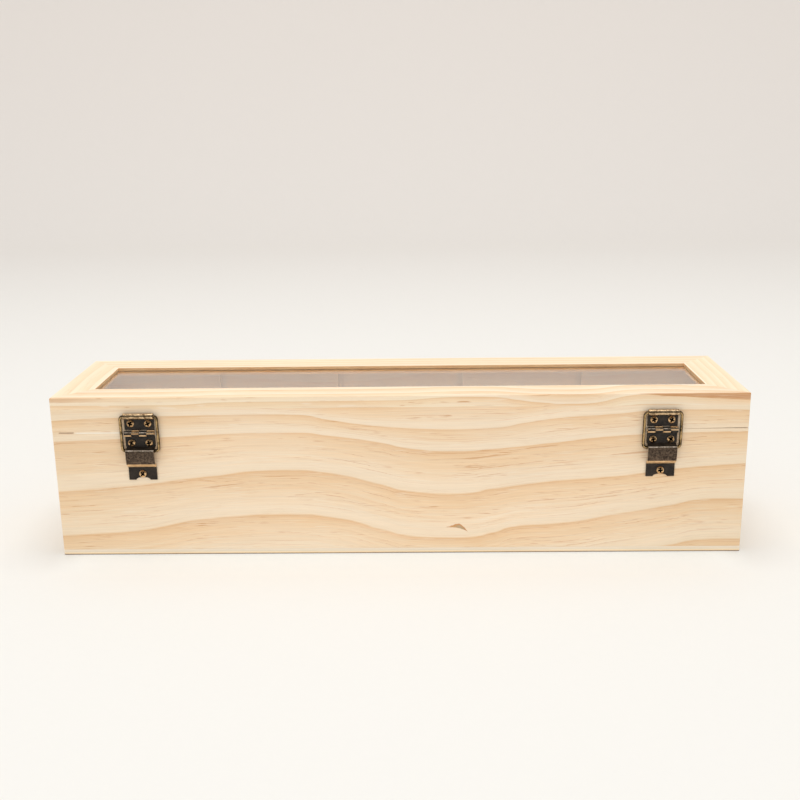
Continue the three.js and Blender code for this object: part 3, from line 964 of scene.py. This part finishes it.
def wear_and_highlights(leaf, matrix):
    """Rounds a leaf's edges down to the brass, and gives its worn places and painted highlight bands their
    finish.
    """
    add_bevel(leaf, LEAF_EASE, 3, 50, material=LEAF_FINISHES.index("edge"))
    inverse = matrix.inverted()
    for polygon in leaf.data.polygons:
        finish = worn_or_highlit_finish(*(inverse @ polygon.center))
        if finish:
            polygon.material_index = LEAF_FINISHES.index(finish)


# Wire, pins and screws

def join_rings(bm, rings):
    """Faces between each ring of vertices and the next."""
    sides = len(rings[0])
    for ring, following in zip(rings, rings[1:]):
        for k in range(sides):
            bm.faces.new((ring[k], ring[(k + 1) % sides], following[(k + 1) % sides], following[k]))


def pin_ring(bm, x, radius, sides):
    """A ring of vertices round the pin's line."""
    ring = []
    for k in range(sides):
        angle = 2 * math.pi * k / sides
        out = BARREL_OUT + radius * math.cos(angle)
        ring.append(bm.verts.new((x, out, radius * math.sin(angle))))
    return ring


def tube(bm, points, radius, sides):
    """A round wire along the points, closed at both ends."""
    rings = []
    side = (points[1] - points[0]).normalized().orthogonal().normalized()
    for i, point in enumerate(points):
        before = points[max(i - 1, 0)]
        after = points[min(i + 1, len(points) - 1)]
        forward = (after - before).normalized()
        side = (side - forward * side.dot(forward)).normalized()
        other = forward.cross(side)
        angles = [2 * math.pi * k / sides for k in range(sides)]
        offsets = [side * math.cos(a) + other * math.sin(a) for a in angles]
        rings.append([bm.verts.new(point + offset * radius) for offset in offsets])
    join_rings(bm, rings)
    bm.faces.new(rings[0])
    bm.faces.new(rings[-1])


RING_HALF = 9.2
RING_BOTTOM = (1.1, -9.3)
RING_CORNER = 1.7
RING_BUTT_GAP = 0.3
WIRE_SIDES = 20


def make_ring(name, matrix, metals):
    """The stay ring: a bent wire whose two ends meet in the middle of its bottom."""
    height = math.hypot(CURL_OUT - RING_BOTTOM[0], CURL_Z - RING_BOTTOM[1])
    x, r = RING_HALF - RING_CORNER, RING_CORNER
    corners = [(x, -height + r), (x, -r), (-x, -r), (-x, -height + r)]
    flat = [Vector((RING_BUTT_GAP / 2, -height))]
    for quarter, centre in enumerate(corners):
        flat += arc(centre, r, 90 * (quarter - 1), 90 * quarter, 10)
    flat.append(Vector((-RING_BUTT_GAP / 2, -height)))
    drop = Vector((RING_BOTTOM[0] - CURL_OUT, RING_BOTTOM[1] - CURL_Z)).normalized()
    points = [Vector((px, CURL_OUT - drop.x * pz, CURL_Z - drop.y * pz)) for px, pz in flat]
    bm = bmesh.new()
    tube(bm, points, WIRE_RADIUS, WIRE_SIDES)
    return into_scene(name, bm, matrix, [metals["wire"]])


PIN_HALF = 7.75
PIN_RADIUS = 0.7
PIN_EASE = 0.15
PIN_SIDES = 32


def make_pin(name, matrix, metals):
    """The hinge pin, with eased ends."""
    profile = [
        (-PIN_HALF, PIN_RADIUS - PIN_EASE),
        (-PIN_HALF + PIN_EASE, PIN_RADIUS),
        (PIN_HALF - PIN_EASE, PIN_RADIUS),
        (PIN_HALF, PIN_RADIUS - PIN_EASE),
    ]
    bm = bmesh.new()
    rings = [pin_ring(bm, x, radius, PIN_SIDES) for x, radius in profile]
    join_rings(bm, rings)
    bm.faces.new(rings[0])
    bm.faces.new(rings[-1])
    return into_scene(name, bm, matrix, [metals["edge"]])


SCREW_LENGTH = 7.0
SCREW_SIDES = 32
HEAD_RADIUS = 1.9
HEAD_HEIGHT = 0.95
HEAD_RIM = 0.3
HEAD_STEPS = 8
SHANK_RADIUS = 0.85
SHANK_LENGTH = 1.2
SHANK_LEVELS = 70
SHANK_MARGIN = 0.02
THREAD_CORE = 0.62
THREAD_CREST = 0.9
THREAD_PITCH = 1.0
TIP_LENGTH = 2.0
CROSS_LONG = 1.48
CROSS_WIDE = 0.5
CROSS_DEPTH = 0.7
CROSS_TAPER = 0.7
CROSS_OVERSHOOT = 0.3


def screw_radius(depth, turns):
    """The radius at a depth below the head and a share of a turn: plain shank, then thread, then tip."""
    if depth < SHANK_LENGTH:
        return SHANK_RADIUS
    phase = (depth / THREAD_PITCH + turns) % 1.0
    ridge = max(0.0, 1.0 - abs(phase - 0.5) * 5.0)
    tip = min(1.0, (SCREW_LENGTH - depth) / TIP_LENGTH)
    return (THREAD_CORE + (THREAD_CREST - THREAD_CORE) * ridge) * max(tip, 0.03)


def screw_ring(bm, centre, out, radii):
    """A ring of vertices round a screw's axis, with a radius for each."""
    ring = []
    for k, radius in enumerate(radii):
        angle = 2 * math.pi * k / len(radii)
        x = centre[0] + radius * math.cos(angle)
        z = centre[1] + radius * math.sin(angle)
        ring.append(bm.verts.new((x, out, z)))
    return ring


def make_screw(name, matrix, centre, turn, metals):
    """A pan head wood screw that runs into the wall from the leaf's face."""
    x, z = centre
    bm = bmesh.new()
    top = bm.verts.new((x, SHEET + HEAD_HEIGHT, z))
    rings = []
    for step in range(1, HEAD_STEPS + 1):
        angle = math.pi / 2 * step / HEAD_STEPS
        height = HEAD_HEIGHT * (HEAD_RIM + (1.0 - HEAD_RIM) * math.cos(angle))
        radii = [HEAD_RADIUS * math.sin(angle)] * SCREW_SIDES
        rings.append(screw_ring(bm, centre, SHEET + height, radii))
    rings.append(screw_ring(bm, centre, SHEET, [HEAD_RADIUS] * SCREW_SIDES))
    for level in range(SHANK_LEVELS + 1):
        depth = SHANK_MARGIN + (SCREW_LENGTH - 2 * SHANK_MARGIN) * level / SHANK_LEVELS
        radii = [screw_radius(depth, k / SCREW_SIDES) for k in range(SCREW_SIDES)]
        rings.append(screw_ring(bm, centre, SHEET - depth, radii))
    end = bm.verts.new((x, SHEET - SCREW_LENGTH, z))
    for k in range(SCREW_SIDES):
        following = (k + 1) % SCREW_SIDES
        bm.faces.new((top, rings[0][k], rings[0][following]))
        bm.faces.new((end, rings[-1][following], rings[-1][k]))
    join_rings(bm, rings)
    screw = into_scene(name, bm, matrix, [metals["screw"], metals["recess"]])
    combine(screw, cross_cutter(matrix, centre, turn, metals), "DIFFERENCE")
    return screw


def cross_cutter(matrix, centre, turn, metals):
    """The tapered cross of a Phillips driver, cut from the head's top."""
    outline = []
    for quarter in range(4):
        angle = turn + quarter * math.pi / 2
        forward = Vector((math.cos(angle), math.sin(angle)))
        left = Vector((-forward.y, forward.x))
        outline.append(forward * CROSS_LONG - left * CROSS_WIDE)
        outline.append(forward * CROSS_LONG + left * CROSS_WIDE)
        outline.append(forward * CROSS_WIDE + left * CROSS_WIDE)
    bm = bmesh.new()
    rings = []
    head_top = SHEET + HEAD_HEIGHT
    for out, scale in ((head_top + CROSS_OVERSHOOT, 1.0), (head_top - CROSS_DEPTH, CROSS_TAPER)):
        rings.append([
            bm.verts.new((centre[0] + point.x * scale, out, centre[1] + point.y * scale))
            for point in outline
        ])
    bm.faces.new(rings[0])
    bm.faces.new(rings[1])
    join_rings(bm, rings)
    return into_scene("cross", bm, matrix, [metals["recess"]])


SCREW_TURN = 40


def make_hinge(side, first_turn, metals):
    """One stay hinge; first_turn is the angle of its first screw's cross, in degrees."""
    cad = f"hinge_{side}"
    name = f"{side}_hinge"
    matrix = hinge_frame(f"{cad}_pin")
    lid_leaf = make_lid_leaf(f"{name}_lid_leaf", matrix, metals)
    case_leaf = make_case_leaf(f"{name}_case_leaf", matrix, metals)
    wear_and_highlights(lid_leaf, matrix)
    wear_and_highlights(case_leaf, matrix)
    pieces = [
        (lid_leaf, "lid", "lid_leaf", "bronze"),
        (case_leaf, "case", "case_leaf", "bronze"),
        (make_pin(f"{name}_pin", matrix, metals), "case", "pin", "bronze"),
        (make_ring(f"{name}_stay_ring", matrix, metals), f"ring_{side}", "stay_ring", "bronze"),
    ]
    screws = [("lid", centre) for centre in LID_SCREWS] + [("case", centre) for centre in CASE_SCREWS]
    for i, (body, centre) in enumerate(screws):
        label = f"{body}_screw_{i + 1}"
        turn = math.radians(first_turn + SCREW_TURN * i)
        screw = make_screw(f"{name}_{label}", matrix, centre, turn, metals)
        pieces.append((screw, body, label, "screw_brass"))
    for piece, body, node, slot in pieces:
        smooth(piece)
        settle(piece, body, f"{cad}_{node}")


# Setting

CAMERA_PLACE = (0.0099, -0.557, 0.2236)
CAMERA_LENS = 48.31
CAMERA_DOWN, CAMERA_LEFT, CAMERA_ROLL = (math.radians(a) for a in (15.32, 1.0, -0.73))


def make_camera():
    data = bpy.data.cameras.new("camera")
    data.lens = CAMERA_LENS
    camera = bpy.data.objects.new("camera", data)
    bpy.context.scene.collection.objects.link(camera)
    turn = Matrix.Rotation(CAMERA_LEFT, 4, "Z") @ Matrix.Rotation(math.pi / 2 - CAMERA_DOWN, 4, "X")
    camera.matrix_world = Matrix.Translation(CAMERA_PLACE) @ turn @ Matrix.Rotation(CAMERA_ROLL, 4, "Z")
    bpy.context.scene.camera = camera


# Painted glow of the paper in front of the case, which paints out the case's contact shadow
PAINTED_GLOW_REACH = 30
PAINTED_GLOW_STRENGTH = 0.19
PAINTED_GLOW_COLOUR = (0.75, 0.93, 1.0, 1.0)


def backdrop_material():
    """Pale paper with a painted glow: in front of the hinge side it emits light that paints out the case's
    shadow there.
    """
    material, tree, shader = new_material("backdrop_paper")
    place = millimetres(tree)
    x, y, z = split(place)
    away = (y + z) * MM
    colour = away.rising(0.1, 2.4).ramp([(0.0, tint(237, 235, 230)), (1.0, tint(239, 232, 225))])
    grain = place.noise((4, 4, 4), 201)
    in_front = (y - back_y) * -1.0
    beside = x.math("ABSOLUTE") - right_x
    # Painted light: the paper glows in front of the case to clear its shadow
    painted_glow = in_front.rising(PAINTED_GLOW_REACH, 0) * in_front.rising(-8, 0) * beside.rising(6, -14)
    feed(shader.inputs["Emission Color"], PAINTED_GLOW_COLOUR)
    feed(shader.inputs["Emission Strength"], painted_glow * PAINTED_GLOW_STRENGTH)
    feed(shader.inputs["Base Color"], colour.scaled(grain * 0.01 + 0.995))
    feed(shader.inputs["Roughness"], 0.85)
    feed(shader.inputs["Specular IOR Level"], 0.1)
    return material


def make_backdrop():
    """A roll of pale paper: flat under the case, and swept up far behind it."""
    reach, flat_end, bend, height = 3.0, 1.2, 0.7, 2.6
    profile = [Vector((-reach, 0)), Vector((flat_end, 0))]
    profile += arc((flat_end, bend), bend, -90, 0, 24)[1:]
    profile.append(Vector((flat_end + bend, height)))
    bm = bmesh.new()
    rows = [[bm.verts.new((x, y, z)) for x in (-reach, reach)] for y, z in profile]
    for row, following in zip(rows, rows[1:]):
        bm.faces.new((row[0], row[1], following[1], following[0]))
    backdrop = new_object("backdrop", bm, [backdrop_material()])
    for polygon in backdrop.data.polygons:
        polygon.use_smooth = True


SOFTBOX_COLOUR = (1.0, 0.99, 0.97)
SKY_COLOUR = (0.985, 0.99, 1.0, 1.0)
SKY_STRENGTH = 0.85


def make_softbox(name, place_at, width, depth, power):
    """A rectangular lamp that points at the case."""
    data = bpy.data.lights.new(name, "AREA")
    data.shape = "RECTANGLE"
    data.size = width
    data.size_y = depth
    data.energy = power
    data.color = SOFTBOX_COLOUR
    light = bpy.data.objects.new(name, data)
    bpy.context.scene.collection.objects.link(light)
    light.location = place_at
    light.rotation_euler = (-Vector(place_at)).to_track_quat("-Z", "Y").to_euler()


def make_lights():
    """Soft white light from all round, a lamp above and a weaker one in front."""
    scene = bpy.context.scene
    scene.view_settings.view_transform = "Standard"
    world = bpy.data.worlds.new("studio")
    world.use_nodes = True
    background = world.node_tree.nodes["Background"]
    feed(background.inputs["Color"], SKY_COLOUR)
    feed(background.inputs["Strength"], SKY_STRENGTH)
    scene.world = world
    make_softbox("overhead_softbox", (0.0, 0.1, 1.4), width=0.8, depth=0.5, power=6.2)
    make_softbox("front_softbox", (-0.3, -1.5, 1.3), width=0.9, depth=0.4, power=3.0)


CARD_PLACE = (0, -1.3, 0.8)
CARD_WIDTH = 3.0
CARD_HEIGHT = 1.5


def make_dark_card():
    """A black card in front of the case, seen only in what shines, to draw dark lines along the metal."""
    upright = Matrix.Translation(CARD_PLACE) @ Matrix.Rotation(math.pi / 2, 4, "X")
    bm = bmesh.new()
    bmesh.ops.create_grid(bm, x_segments=1, y_segments=1, size=0.5)
    size = Matrix.Diagonal((CARD_WIDTH, CARD_HEIGHT, 1.0, 1.0))
    bmesh.ops.transform(bm, matrix=upright @ size, verts=bm.verts)
    material, _, shader = new_material("black_card")
    feed(shader.inputs["Base Color"], (0.01, 0.01, 0.01, 1.0))
    feed(shader.inputs["Roughness"], 1.0)
    card = new_object("dark_card", bm, [material])
    card.visible_camera = False
    card.visible_diffuse = False
    card.visible_shadow = False
    card.visible_transmission = False
    card.visible_volume_scatter = False


# The whole scene

make_camera()
make_backdrop()
make_lights()
make_dark_card()

woods = make_pines()
woods["panel"] = panel_plywood()
make_boards(woods)

refine_node("glass_pane", clear_glass(), GLASS_EASE)
divider_look = divider_plywood()
for number in range(1, DIVIDERS + 1):
    refine_node(f"divider_{number}", divider_look, DIVIDER_EASE)

metals = make_metals()
make_hinge("left", 70, metals)
make_hinge("right", 25, metals)
